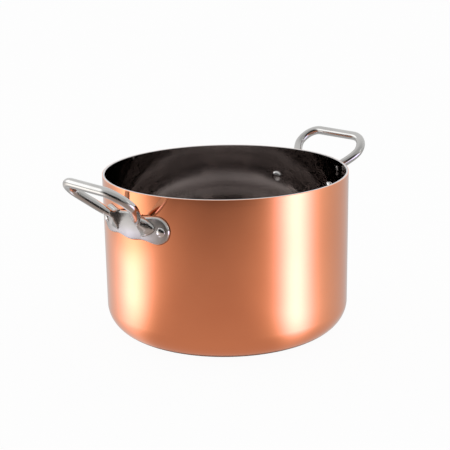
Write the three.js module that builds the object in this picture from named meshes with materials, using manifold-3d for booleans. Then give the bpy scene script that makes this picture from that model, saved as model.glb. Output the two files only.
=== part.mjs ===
// A deep copper stockpot with two cast steel loop handles, each held by two rivets.
// Millimetres, +Z up. The origin is the middle of the base, on the table, and the handles lie along X.
import * as THREE from "three";
import { mergeVertices } from "three/addons/utils/BufferGeometryUtils.js";
import Module from "manifold-3d";

// Pot wall: three metals, bonded into one sheet and drawn into a cup
const POT_DIAMETER = 240;
const POT_HEIGHT = 155.5;
const CORNER_RADIUS = 25;
const COPPER_THICKNESS = 0.6;
const CORE_THICKNESS = 1.4;
const LINING_THICKNESS = 0.5;
const RIM_CHAMFER = 0.25;

// Handle plate: a long pad with round lobes, wrapped round the wall and about as long as the loop is wide
const PLATE_OVERHANG = 1.5;
const PLATE_HEIGHT = 26.6;
const PLATE_THICKNESS = 2.8;
const PLATE_EDGE = 1;
const PLATE_WAIST = 1.9;
const PLATE_DROP = 31.6;

// Boss: the raised oval that carries the loop, with a flat panel sunk between the arms
const BOSS_END_DISTANCE = 14;
const BOSS_HEIGHT = 22.6;
const BOSS_RISE = 6.6;
const BOSS_EDGE = 2.4;
const BOSS_DROP = 29.3;
const PANEL_WIDTH = 25;
const PANEL_DEPTH = 2.4;

// Loop: a bar that leaves the boss on two arms and ends in a straight grip
const LOOP_SLOPE = 44;
const LOOP_REACH = 57;
const LOOP_WIDTH = 90.5;
const LOOP_FOOT_SPACING = 30;
const LOOP_KNEE_REACH = 28.5;
const LOOP_BOW = 1.4;
const LOOP_CORNER_RADIUS = 18;
const LOOP_FOOT_DROP = 27.5;
const LOOP_FOOT_OUT = 5;
const BAR_WIDTH = 9.4;
const BAR_THICKNESS = 9;
const ROOT_WIDTH = 7.2;
const ROOT_THICKNESS = 7.8;

// Rivets: a domed head inside the pot, a shank through wall and plate, a domed head outside
const RIVET_END_DISTANCE = 7.5;
const RIVET_SHANK_DIAMETER = 5;
const INNER_HEAD_DIAMETER = 11;
const INNER_HEAD_RISE = 3;
const OUTER_HEAD_DIAMETER = 9;
const OUTER_HEAD_RISE = 2.4;
const RIVET_HEAD_EDGE = 0.5;

// Room left between separate pieces that meet
const CLEARANCE = 0.3;

// How finely round shapes are cut into flats
const WALL_SIDES = 64;
const CORNER_STEPS = 6;
const PLATE_POINTS = 48;
const BOSS_POINTS = 32;
const BAR_SIDES = 12;
const BAR_STEPS = 48;
const RIVET_SIDES = 16;
const DOME_STEPS = 4;

const potRadius = POT_DIAMETER / 2;
const wallThickness = COPPER_THICKNESS + CORE_THICKNESS + LINING_THICKNESS;
const plateLength = LOOP_WIDTH + PLATE_OVERHANG;
const plateMiddle = POT_HEIGHT - PLATE_DROP;
const plateBack = potRadius + CLEARANCE;
const bossLength = plateLength - 2 * BOSS_END_DISTANCE;
const rivetAngle = (plateLength / 2 - RIVET_END_DISTANCE) / potRadius;
const holeRadius = RIVET_SHANK_DIAMETER / 2 + CLEARANCE;
const loopSlope = THREE.MathUtils.degToRad(LOOP_SLOPE);
const rootDepth = (LOOP_FOOT_OUT + ROOT_THICKNESS / 2) / Math.cos(loopSlope);

const COPPER = { color: 0xd98a5c, roughness: 0.2, metalness: 1 };
const ALUMINIUM = { color: 0xc9ccd0, roughness: 0.4, metalness: 1 };
const POLISHED_STEEL = { color: 0xb9b6b2, roughness: 0.12, metalness: 1 };
const CAST_STEEL = { color: 0xc4c4c6, roughness: 0.25, metalness: 1 };

const wasm = await Module();
wasm.setup();

// A three.js geometry as a solid that can be joined and cut.
function toSolid(geometry) {
  const bare = geometry.clone();
  bare.deleteAttribute("normal");
  bare.deleteAttribute("uv");
  const merged = mergeVertices(bare, 1e-4);
  return new wasm.Manifold(
    new wasm.Mesh({
      numProp: 3,
      vertProperties: new Float32Array(merged.attributes.position.array),
      triVerts: new Uint32Array(merged.index.array),
    }),
  );
}

// A solid back as a three.js geometry.
function toGeometry(solid) {
  const mesh = solid.getMesh();
  const geometry = new THREE.BufferGeometry();
  geometry.setAttribute("position", new THREE.BufferAttribute(mesh.vertProperties, 3));
  geometry.setIndex(new THREE.BufferAttribute(mesh.triVerts, 1));
  geometry.computeVertexNormals();
  return geometry;
}

// A closed skin through rings of equally many points, with each end ring closed onto a middle point.
function loft(rings, firstMiddle, lastMiddle) {
  const sides = rings[0].length;
  const points = [...rings.flat(), firstMiddle, lastMiddle];
  const first = points.length - 2;
  const last = points.length - 1;
  const faces = [];
  for (let side = 0; side < sides; side++) {
    const next = (side + 1) % sides;
    faces.push(first, next, side);
    for (let ring = 0; ring < rings.length - 1; ring++) {
      const low = ring * sides;
      const high = low + sides;
      faces.push(low + side, low + next, high + next);
      faces.push(low + side, high + next, high + side);
    }
    const end = (rings.length - 1) * sides;
    faces.push(last, end + side, end + next);
  }
  return new THREE.BufferGeometry().setFromPoints(points).setIndex(faces);
}

// The wall between two depths under the pot's outside, as a profile of radius and height.
function cupProfile(outerDepth, innerDepth, outerChamfer, innerChamfer) {
  const flat = potRadius - CORNER_RADIUS;
  const corner = (depth) => {
    const radius = CORNER_RADIUS - depth;
    const arc = new THREE.EllipseCurve(flat, CORNER_RADIUS, radius, radius, -Math.PI / 2, 0);
    return arc.getPoints(CORNER_STEPS);
  };
  const outside = [
    new THREE.Vector2(0, outerDepth),
    ...corner(outerDepth),
    new THREE.Vector2(potRadius - outerDepth, POT_HEIGHT - outerChamfer),
    new THREE.Vector2(potRadius - outerDepth - outerChamfer, POT_HEIGHT),
  ];
  const inside = [
    new THREE.Vector2(0, innerDepth),
    ...corner(innerDepth),
    new THREE.Vector2(potRadius - innerDepth, POT_HEIGHT - innerChamfer),
    new THREE.Vector2(potRadius - innerDepth + innerChamfer, POT_HEIGHT),
  ];
  const closed = [...outside, ...inside.reverse()];
  return closed.filter((p, i) => i === 0 || p.distanceTo(closed[i - 1]) > 1e-6);
}

// One layer of the wall, turned on the pot's axis and drilled for the rivets.
function wallLayer(outerDepth, thickness, outerChamfer = 0, innerChamfer = 0) {
  const profile = cupProfile(outerDepth, outerDepth + thickness, outerChamfer, innerChamfer);
  const cup = new THREE.LatheGeometry(profile, WALL_SIDES).rotateX(Math.PI / 2);
  return toGeometry(rivetPlaces().reduce((solid, place) => solid.subtract(rivetHole(place)), toSolid(cup)));
}

// The turn about Z of every rivet: two on each handle.
function rivetPlaces() {
  return [0, Math.PI].flatMap((side) => [side - rivetAngle, side + rivetAngle]);
}

// A drilled hole through wall and plate, along the radius at a given turn.
function rivetHole(turn) {
  const start = potRadius - wallThickness - CLEARANCE;
  const end = plateBack + PLATE_THICKNESS + BOSS_RISE;
  const drill = new THREE.CylinderGeometry(holeRadius, holeRadius, end - start, RIVET_SIDES);
  drill.rotateZ(-Math.PI / 2).translate((start + end) / 2, 0, plateMiddle).rotateZ(turn);
  return toSolid(drill);
}

// A point given along the wall, by its height, and out from the back of the plate.
function onWall(along, height, out) {
  const turn = along / potRadius;
  const radius = plateBack + out;
  return new THREE.Vector3(radius * Math.cos(turn), radius * Math.sin(turn), height);
}

// Equally spaced points of a closed outline, without the repeated last one.
function ringPoints(shape, count) {
  return shape.getSpacedPoints(count).slice(0, count);
}

// An outline moved inwards by a distance, point by point. It runs anticlockwise.
function inset(outline, distance) {
  return outline.map((p, i) => {
    const before = outline.at(i - 1);
    const after = outline[(i + 1) % outline.length];
    const along = after.clone().sub(before).normalize();
    return new THREE.Vector2(p.x - along.y * distance, p.y + along.x * distance);
  });
}

// A pad on the wall round a given height: its outline at several insets, shrinks and depths, back to crown.
function pad(outline, height, levels) {
  const rings = levels.map(({ shrink = 1, edge = 0, out }) =>
    inset(outline, edge).map((p) => onWall(p.x * shrink, height + p.y * shrink, out)),
  );
  return loft(rings, onWall(0, height, levels[0].out), onWall(0, height, levels.at(-1).out));
}

// The plate's outline: round lobes at both ends, long edges that dip between the lobes and the middle.
function plateOutline() {
  const half = PLATE_HEIGHT / 2;
  const lobe = plateLength / 2 - half;
  const edge = (side) =>
    [-lobe / 2, 0, lobe / 2, lobe].map(
      (x, i) => new THREE.Vector2(-side * x, side * (half - (i % 2 === 0 ? PLATE_WAIST : 0))),
    );
  const shape = new THREE.Shape().moveTo(-lobe, -half);
  shape.splineThru(edge(-1));
  shape.absarc(lobe, 0, half, -Math.PI / 2, Math.PI / 2);
  shape.splineThru(edge(1));
  shape.absarc(-lobe, 0, half, Math.PI / 2, (3 * Math.PI) / 2);
  return ringPoints(shape, PLATE_POINTS);
}

// The riveted plate, flat on the wall with a rounded front edge.
function plate() {
  const front = PLATE_THICKNESS;
  return pad(plateOutline(), plateMiddle, [
    ...[0.25, 0.5, 0.75, 1].map((shrink) => ({ shrink, out: 0 })),
    { out: front - PLATE_EDGE },
    { edge: PLATE_EDGE * 0.3, out: front - PLATE_EDGE * 0.3 },
    ...[1, 0.75, 0.5].map((shrink) => ({ edge: PLATE_EDGE, shrink, out: front })),
  ]);
}

// The oval boss: a steep rounded edge and a low crown.
function boss() {
  const oval = new THREE.Shape().absellipse(0, 0, bossLength / 2, BOSS_HEIGHT / 2, 0, 2 * Math.PI);
  const front = PLATE_THICKNESS;
  const crown = (share) => front + BOSS_EDGE + (BOSS_RISE - BOSS_EDGE) * share;
  return pad(ringPoints(oval, BOSS_POINTS), POT_HEIGHT - BOSS_DROP, [
    { shrink: 0.5, out: front / 2 },
    { out: front / 2 },
    { out: front + BOSS_EDGE * 0.4 },
    { edge: BOSS_EDGE * 0.4, out: crown(0.1) },
    { edge: BOSS_EDGE, out: crown(0.4) },
    { edge: BOSS_EDGE, shrink: 0.8, out: crown(0.7) },
    { edge: BOSS_EDGE, shrink: 0.5, out: crown(0.9) },
    { edge: BOSS_EDGE, shrink: 0.2, out: crown(1) },
  ]);
}

// The loop's middle line in its own plane: x across the handle, y along the slope from the feet.
function loopLine() {
  const foot = new THREE.Vector2(LOOP_FOOT_SPACING / 2, 0);
  const knee = new THREE.Vector2((LOOP_WIDTH - BAR_WIDTH) / 2, LOOP_KNEE_REACH);
  const root = foot.clone().addScaledVector(foot.clone().sub(knee).normalize(), rootDepth);
  const centreX = knee.x - LOOP_CORNER_RADIUS;
  const centreY = LOOP_REACH - LOOP_CORNER_RADIUS;
  const line = new THREE.Path().moveTo(root.x, root.y).lineTo(foot.x, foot.y);
  line.quadraticCurveTo(knee.x, knee.y, knee.x, centreY);
  line.absarc(centreX, centreY, LOOP_CORNER_RADIUS, 0, Math.PI / 2);
  line.absarc(-centreX, centreY, LOOP_CORNER_RADIUS, Math.PI / 2, Math.PI);
  line.quadraticCurveTo(-knee.x, knee.y, -foot.x, foot.y);
  line.lineTo(-root.x, root.y);
  return line;
}

// How far the loop stands over the straight slope at a share of its reach: none at the feet and the grip.
function bowShare(reach) {
  return 6.75 * reach * (1 - reach) ** 2;
}

// The space in front of the boss's panel, between the inner sides of the arms.
function panelSpace() {
  const face = plateBack + PLATE_THICKNESS + BOSS_RISE - PANEL_DEPTH;
  const depth = LOOP_REACH;
  const space = new THREE.BoxGeometry(depth, PANEL_WIDTH, PLATE_HEIGHT);
  return space.translate(face + depth / 2, 0, plateMiddle);
}

// The bar of the loop: full along the grip, with arms that taper down to the boss.
function loopBar() {
  const outward = new THREE.Vector3(Math.cos(loopSlope), 0, Math.sin(loopSlope));
  const across = new THREE.Vector3(0, 1, 0);
  const normal = new THREE.Vector3(-Math.sin(loopSlope), 0, Math.cos(loopSlope));
  const foot = new THREE.Vector3(plateBack + LOOP_FOOT_OUT, 0, POT_HEIGHT - LOOP_FOOT_DROP);
  const line = loopLine();
  const length = line.getLength();
  const rings = [];
  const middles = [];
  for (let step = 0; step <= BAR_STEPS; step++) {
    const share = step / BAR_STEPS;
    const place = line.getPointAt(share);
    const heading = line.getTangentAt(share);
    const side = across.clone().multiplyScalar(heading.y).addScaledVector(outward, -heading.x);
    const middle = foot.clone().addScaledVector(across, place.x).addScaledVector(outward, place.y);
    middle.addScaledVector(normal, LOOP_BOW * bowShare(place.y / LOOP_REACH));
    const taper = THREE.MathUtils.smoothstep(length * Math.min(share, 1 - share), rootDepth, LOOP_REACH);
    const halfWidth = THREE.MathUtils.lerp(ROOT_WIDTH, BAR_WIDTH, taper) / 2;
    const halfThickness = THREE.MathUtils.lerp(ROOT_THICKNESS, BAR_THICKNESS, taper) / 2;
    const ring = [];
    for (let corner = 0; corner < BAR_SIDES; corner++) {
      const turn = (2 * Math.PI * corner) / BAR_SIDES;
      const point = middle.clone();
      point.addScaledVector(side, halfWidth * Math.cos(turn));
      point.addScaledVector(normal, halfThickness * Math.sin(turn));
      ring.push(point);
    }
    rings.push(ring);
    middles.push(middle);
  }
  return loft(rings, middles[0], middles.at(-1));
}

// One handle, cast in one piece and drilled for its rivets, on the +X side.
function handleCasting() {
  const seat = plateBack + PLATE_THICKNESS / 2;
  const wallSide = new THREE.CylinderGeometry(seat, seat, POT_HEIGHT, WALL_SIDES).rotateX(Math.PI / 2);
  const bar = toSolid(loopBar()).subtract(toSolid(wallSide.translate(0, 0, POT_HEIGHT / 2)));
  const cast = toSolid(plate()).add(toSolid(boss())).add(bar).subtract(toSolid(panelSpace()));
  return toGeometry([-rivetAngle, rivetAngle].reduce((s, turn) => s.subtract(rivetHole(turn)), cast));
}

// A rivet head's outline: a low dome from its crown to its rim, as radius and height over the seat.
function domeProfile(diameter, rise) {
  const radius = diameter / 2;
  const points = [];
  for (let step = 0; step <= DOME_STEPS; step++) {
    const turn = (Math.PI / 2) * (1 - step / DOME_STEPS);
    const height = RIVET_HEAD_EDGE + (rise - RIVET_HEAD_EDGE) * Math.sin(turn);
    points.push(new THREE.Vector2(radius * Math.cos(turn), height));
  }
  points.push(new THREE.Vector2(radius, 0));
  return points;
}

// One rivet along +X, set through the wall and the plate.
function rivet() {
  const innerSeat = potRadius - wallThickness - CLEARANCE;
  const outerSeat = plateBack + PLATE_THICKNESS + CLEARANCE;
  const shank = RIVET_SHANK_DIAMETER / 2;
  const innerHead = domeProfile(INNER_HEAD_DIAMETER, INNER_HEAD_RISE);
  const outerHead = domeProfile(OUTER_HEAD_DIAMETER, OUTER_HEAD_RISE);
  const inner = innerHead.map((p) => new THREE.Vector2(p.x, innerSeat - p.y));
  const outer = outerHead.map((p) => new THREE.Vector2(p.x, outerSeat + p.y));
  inner.push(new THREE.Vector2(shank, innerSeat));
  outer.push(new THREE.Vector2(shank, outerSeat));
  const turned = new THREE.LatheGeometry([...inner, ...outer.reverse()], RIVET_SIDES);
  return turned.rotateZ(-Math.PI / 2).translate(0, 0, plateMiddle);
}

// A named piece with its own finish.
function piece(name, geometry, finish) {
  const mesh = new THREE.Mesh(geometry, new THREE.MeshStandardMaterial(finish));
  mesh.name = name;
  return mesh;
}

// A handle with its two rivets, turned to its side of the pot.
function handleGroup(side, turn) {
  const group = new THREE.Group();
  group.rotation.z = turn;
  group.add(piece(`handle_${side}`, handleCasting(), CAST_STEEL));
  const near = turn === 0 ? "front" : "rear";
  const far = turn === 0 ? "rear" : "front";
  for (const [end, sign] of [[near, -1], [far, 1]]) {
    const set = piece(`rivet_${side}_${end}`, rivet(), POLISHED_STEEL);
    set.rotation.z = sign * rivetAngle;
    group.add(set);
  }
  return group;
}

const stockpot = new THREE.Group();
stockpot.add(piece("copper_shell", wallLayer(0, COPPER_THICKNESS, RIM_CHAMFER, 0), COPPER));
stockpot.add(piece("aluminium_core", wallLayer(COPPER_THICKNESS, CORE_THICKNESS), ALUMINIUM));
const liningDepth = COPPER_THICKNESS + CORE_THICKNESS;
stockpot.add(piece("steel_lining", wallLayer(liningDepth, LINING_THICKNESS, 0, RIM_CHAMFER), POLISHED_STEEL));
stockpot.add(handleGroup("right", 0));
stockpot.add(handleGroup("left", Math.PI));

export default stockpot;
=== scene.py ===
"""A copper stockpot with a steel lining and two riveted cast steel handles, dressed for close viewing."""
import logging
import math
from dataclasses import dataclass
from enum import Enum
from typing import Callable, Sequence

import bpy
from mathutils import Matrix, Vector


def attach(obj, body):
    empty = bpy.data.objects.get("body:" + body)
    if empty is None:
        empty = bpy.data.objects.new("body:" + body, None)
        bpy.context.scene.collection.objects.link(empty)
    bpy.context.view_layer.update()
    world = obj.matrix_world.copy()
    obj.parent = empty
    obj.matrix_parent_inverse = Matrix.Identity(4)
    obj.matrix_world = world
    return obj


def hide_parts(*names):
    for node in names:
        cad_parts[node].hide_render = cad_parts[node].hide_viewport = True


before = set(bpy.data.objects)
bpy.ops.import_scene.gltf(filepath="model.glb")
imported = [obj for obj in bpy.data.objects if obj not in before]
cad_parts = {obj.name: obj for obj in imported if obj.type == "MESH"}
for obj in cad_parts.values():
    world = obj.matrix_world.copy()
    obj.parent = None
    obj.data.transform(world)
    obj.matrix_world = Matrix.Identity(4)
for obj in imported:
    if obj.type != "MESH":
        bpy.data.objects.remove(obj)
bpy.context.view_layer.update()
LOG = logging.getLogger("stockpot")
BODY = "root"
MM = 0.001
WELD = 0.001 * MM
SMOOTH_FACTOR = 0.5
SCRATCH_PATTERN = (1.0, 1.0)
SCRATCH_STRETCH = 0.02
SCRATCH_SPAN = (0.68, 0.74)
CARD_SIDES = 96
# Scales the curve of the bow to a peak of 1
BOW_PEAK = 27 / 4

Point2 = tuple[float, float]
Point3 = tuple[float, float, float]
Colour = tuple[float, float, float]
# The start and the end of a range
Span = tuple[float, float]
# A pattern's scale and detail
Pattern = tuple[float, float]
# The turn and the fineness of a set of scratches
Scratch = tuple[float, float]
Socket = bpy.types.NodeSocket


class Side(Enum):
    """The side of the pot that a handle is on, with its turn about the pot's axis."""

    RIGHT = 0.0
    LEFT = math.pi


class End(Enum):
    """The end of a handle plate that a rivet is in."""

    FRONT = "front"
    REAR = "rear"


def ease(share: float) -> float:
    """Ease a share between 0 and 1.

    Args:
        share: The share, which may lie outside.

    Returns:
        The eased share, from 0 to 1.
    """
    share = min(1.0, max(0.0, share))
    return share * share * (3 - 2 * share)


class Bench:
    """Short calls for the modelling steps that several pieces share."""

    @staticmethod
    def clear() -> None:
        """Leave edit mode and deselect everything."""
        if bpy.context.mode != "OBJECT":
            bpy.ops.object.mode_set(mode="OBJECT")
        bpy.ops.object.select_all(action="DESELECT")

    @staticmethod
    def pick(*pieces: bpy.types.Object) -> None:
        """Select these objects alone and make the first one active.

        Args:
            pieces: The objects to select.
        """
        Bench.clear()
        for piece in pieces:
            piece.select_set(True)
        bpy.context.view_layer.objects.active = pieces[0]

    @staticmethod
    def edit(piece: bpy.types.Object) -> None:
        """Open a piece in edit mode with all of its mesh selected.

        Args:
            piece: The object to open.
        """
        Bench.pick(piece)
        bpy.ops.object.mode_set(mode="EDIT")
        bpy.ops.mesh.select_mode(type="VERT")
        bpy.ops.mesh.select_all(action="SELECT")

    @staticmethod
    def trace(name: str, points: Sequence[Vector], closed: bool = False) -> bpy.types.Object:
        """Draw a line by pulling one vertex from point to point.

        Args:
            name: The new object's name.
            points: The places that the line runs through.
            closed: Whether the last point is joined to the first.

        Returns:
            The object that holds the line.
        """
        Bench.clear()
        bpy.ops.mesh.primitive_plane_add(size=MM)
        piece = bpy.context.object
        piece.name = name
        Bench.edit(piece)
        bpy.ops.mesh.merge(type="CENTER")
        bpy.ops.transform.translate(value=points[0])
        for before, after in zip(points, points[1:]):
            bpy.ops.mesh.extrude_vertices_move(TRANSFORM_OT_translate={"value": after - before})
        bpy.ops.object.mode_set(mode="OBJECT")
        if closed:
            ends = (0, len(points) - 1)
            Bench.choose(piece, "VERT", lambda vertex: vertex.index in ends)
            bpy.ops.mesh.edge_face_add()
            bpy.ops.object.mode_set(mode="OBJECT")
        return piece

    @staticmethod
    def turned(name: str, profile: Sequence[Point2], steps: int) -> bpy.types.Object:
        """Turn a profile of radius and height about the Z axis into a closed body.

        Args:
            name: The new object's name.
            profile: Points of radius and height, from axis to axis.
            steps: How many steps the turn has.

        Returns:
            The turned body.
        """
        piece = Bench.trace(name, [Vector((radius, 0, height)) for radius, height in profile])
        Bench.edit(piece)
        bpy.ops.mesh.spin(steps=steps, angle=2 * math.pi, center=(0, 0, 0), axis=(0, 0, 1))
        Bench.seal(piece)
        return piece

    @staticmethod
    def seal(piece: bpy.types.Object) -> None:
        """Merge a mesh's doubles and point its faces outwards.

        Args:
            piece: The object to mend.
        """
        Bench.edit(piece)
        bpy.ops.mesh.remove_doubles(threshold=WELD)
        bpy.ops.mesh.normals_make_consistent(inside=False)
        bpy.ops.object.mode_set(mode="OBJECT")

    @staticmethod
    def choose(piece: bpy.types.Object, kind: str, wanted: Callable[[bpy.types.bpy_struct], bool]) -> None:
        """Open a piece in edit mode with some of its vertices or faces selected.

        Args:
            piece: The object to open.
            kind: VERT or FACE.
            wanted: Tells whether a vertex or a face is selected.
        """
        Bench.edit(piece)
        bpy.ops.mesh.select_mode(type=kind)
        bpy.ops.mesh.select_all(action="DESELECT")
        bpy.ops.object.mode_set(mode="OBJECT")
        for item in piece.data.polygons if kind == "FACE" else piece.data.vertices:
            item.select = wanted(item)
        bpy.ops.object.mode_set(mode="EDIT")

    @staticmethod
    def combine(piece: bpy.types.Object, tool: bpy.types.Object, operation: str) -> None:
        """Join a tool to a piece or cut the piece with it, and delete the tool.

        Args:
            piece: The object that is kept.
            tool: The object that is used up.
            operation: UNION or DIFFERENCE.
        """
        Bench.pick(piece)
        boolean = piece.modifiers.new("combine", "BOOLEAN")
        boolean.operation = operation
        boolean.solver = "EXACT"
        boolean.object = tool
        bpy.ops.object.modifier_apply(modifier=boolean.name)
        bpy.data.objects.remove(tool, do_unlink=True)

    @staticmethod
    def place(piece: bpy.types.Object, matrix: Matrix) -> None:
        """Move a piece and take its place into its mesh.

        Args:
            piece: The object to move.
            matrix: The move, from the piece's present place.
        """
        Bench.pick(piece)
        piece.matrix_world = matrix @ piece.matrix_world
        bpy.ops.object.transform_apply(location=True, rotation=True, scale=True)

    @staticmethod
    def copy(piece: bpy.types.Object, name: str, matrix: Matrix) -> bpy.types.Object:
        """Copy a piece with its own mesh and put the copy in its place.

        Args:
            piece: The object to copy.
            name: The copy's name.
            matrix: The move from the piece to the copy.

        Returns:
            The copy.
        """
        Bench.pick(piece)
        bpy.ops.object.duplicate(linked=False)
        twin = bpy.context.object
        twin.name = name
        Bench.place(twin, matrix)
        return twin

    @staticmethod
    def smooth(piece: bpy.types.Object, degrees: float) -> None:
        """Shade a piece smooth up to an angle between faces.

        Args:
            piece: The object to shade.
            degrees: The largest angle that is shaded smooth.
        """
        Bench.pick(piece)
        bpy.ops.object.shade_smooth_by_angle(angle=math.radians(degrees))


class NodeSheet:
    """A node tree, with short calls for the nodes that the finishes and the room need."""

    def __init__(self, tree: bpy.types.NodeTree, coords: str = "Object") -> None:
        """Open a tree.

        Args:
            tree: The tree that takes the nodes.
            coords: The texture coordinates that its patterns follow.
        """
        self.tree = tree
        self.coords = self.node("ShaderNodeTexCoord").outputs[coords]

    def node(self, kind: str, **settings: object) -> bpy.types.Node:
        """Add a node and set its properties.

        Args:
            kind: The node's type.
            settings: Its properties by name.

        Returns:
            The node.
        """
        made = self.tree.nodes.new(kind)
        for key, value in settings.items():
            setattr(made, key, value)
        return made

    def feed(self, socket: Socket, source: object) -> None:
        """Give a socket a link or a plain value.

        Args:
            socket: The input to fill.
            source: A socket to link from, or the value.
        """
        if isinstance(source, Socket):
            self.tree.links.new(source, socket)
        else:
            socket.default_value = source

    def math(self, operation: str, *sources: object, clamp: bool = False) -> Socket:
        """Add a number sum.

        Args:
            operation: The sum's name.
            sources: Its inputs, in order.
            clamp: Whether the result is kept between 0 and 1.

        Returns:
            The result.
        """
        made = self.node("ShaderNodeMath", operation=operation, use_clamp=clamp)
        for socket, source in zip(made.inputs, sources):
            self.feed(socket, source)
        return made.outputs[0]

    def stretched(self, scale: Point3, turn: float = 0.0) -> Socket:
        """Give the object's coordinates, turned about X and Y and scaled along each axis.

        Args:
            scale: The scale along X, Y and Z.
            turn: The turn in degrees.

        Returns:
            The coordinates.
        """
        mapping = self.node("ShaderNodeMapping")
        self.feed(mapping.inputs["Vector"], self.coords)
        mapping.inputs["Rotation"].default_value = (math.radians(turn), math.radians(turn), 0)
        mapping.inputs["Scale"].default_value = scale
        return mapping.outputs[0]

    def noise(self, scale: float, detail: float, vector: object = None) -> Socket:
        """Add a cloudy pattern.

        Args:
            scale: How fine the pattern is.
            detail: How many finer layers it has.
            vector: The coordinates, or None for the object's own.

        Returns:
            A number from 0 to 1.
        """
        made = self.node("ShaderNodeTexNoise")
        self.feed(made.inputs["Vector"], vector or self.coords)
        made.inputs["Scale"].default_value = scale
        made.inputs["Detail"].default_value = detail
        return made.outputs["Fac"]

    def remap(self, source: object, low: float, high: float, start: float, end: float) -> Socket:
        """Turn one range of numbers into another, smoothly and within its ends.

        Args:
            source: The number.
            low: The number that gives start.
            high: The number that gives end.
            start: The first result.
            end: The last result.

        Returns:
            The result.
        """
        made = self.node("ShaderNodeMapRange", interpolation_type="SMOOTHSTEP")
        for socket, value in zip(made.inputs, (source, low, high, start, end)):
            self.feed(socket, value)
        return made.outputs[0]

    def mix(self, share: object, first: object, second: object) -> Socket:
        """Mix two colours.

        Args:
            share: How much of the second there is.
            first: The first colour.
            second: The second colour.

        Returns:
            The mixed colour.
        """
        made = self.node("ShaderNodeMix", data_type="RGBA")
        self.feed(made.inputs["Factor"], share)
        for key, source in (("A", first), ("B", second)):
            socket = next(item for item in made.inputs if item.name == key and item.type == "RGBA")
            self.feed(socket, (*source, 1.0) if isinstance(source, tuple) else source)
        return next(item for item in made.outputs if item.type == "RGBA")

    def bump(self, height: object, strength: float, distance: float, under: object = None) -> Socket:
        """Turn a height into a surface bump.

        Args:
            height: The height pattern.
            strength: How much of it shows.
            distance: How high it is, in metres.
            under: A bump that this one lies on.

        Returns:
            The bent normal.
        """
        made = self.node("ShaderNodeBump")
        self.feed(made.inputs["Height"], height)
        made.inputs["Strength"].default_value = strength
        made.inputs["Distance"].default_value = distance
        if under is not None:
            self.feed(made.inputs["Normal"], under)
        return made.outputs["Normal"]

    def scratches(self, turn: float, fine: float) -> Socket:
        """Give sparse thin scratches that run one way.

        Args:
            turn: The way that they run, in degrees.
            fine: How close together they can lie.

        Returns:
            A number that is 1 in a scratch.
        """
        wide = fine * SCRATCH_STRETCH
        lines = self.noise(*SCRATCH_PATTERN, self.stretched((wide, wide, fine), turn))
        return self.remap(lines, *SCRATCH_SPAN, 0.0, 1.0)

    def place(self) -> list[Socket]:
        """Give the X, Y and Z coordinates, in metres."""
        parts = self.node("ShaderNodeSeparateXYZ")
        self.feed(parts.inputs[0], self.coords)
        return list(parts.outputs)

    def towards(self, way: Vector) -> Socket:
        """Give how far the coordinates reach along a way.

        Args:
            way: The way, of length 1.

        Returns:
            The length along it.
        """
        made = self.node("ShaderNodeVectorMath", operation="DOT_PRODUCT")
        self.feed(made.inputs[0], self.coords)
        self.feed(made.inputs[1], way)
        return made.outputs["Value"]

    def radius(self) -> Socket:
        """Give the distance from the Z axis, in metres."""
        squares = [self.math("MULTIPLY", part, part) for part in self.place()[:2]]
        return self.math("SQRT", self.math("ADD", *squares))


class FinishSheet(NodeSheet):
    """The nodes of a new material."""

    def __init__(self, name: str) -> None:
        """Start a material with a bare surface shader.

        Args:
            name: The material's name.
        """
        self.material = bpy.data.materials.new(name)
        self.material.use_nodes = True
        super().__init__(self.material.node_tree)
        self.shader = self.tree.nodes["Principled BSDF"]

    def show(self, first: Socket, second: Socket, share: object) -> None:
        """Show a mix of two shaders on the surface.

        Args:
            first: The first shader.
            second: The second shader.
            share: How much of the second there is.
        """
        blend = self.node("ShaderNodeMixShader")
        for socket, source in zip(blend.inputs, (share, first, second)):
            self.feed(socket, source)
        self.feed(self.tree.nodes["Material Output"].inputs["Surface"], blend.outputs[0])

    def glow(self, colour: object, strength: object, cover: object) -> None:
        """Make the surface a plain glow that is clear where nothing covers it.

        Args:
            colour: The glow's colour.
            strength: Its strength.
            cover: How much of it there is, from 0 to 1.
        """
        lamp = self.node("ShaderNodeEmission")
        self.feed(lamp.inputs["Color"], colour)
        self.feed(lamp.inputs["Strength"], strength)
        self.show(self.node("ShaderNodeBsdfTransparent").outputs[0], lamp.outputs[0], cover)
        self.tree.nodes.remove(self.shader)


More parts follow.
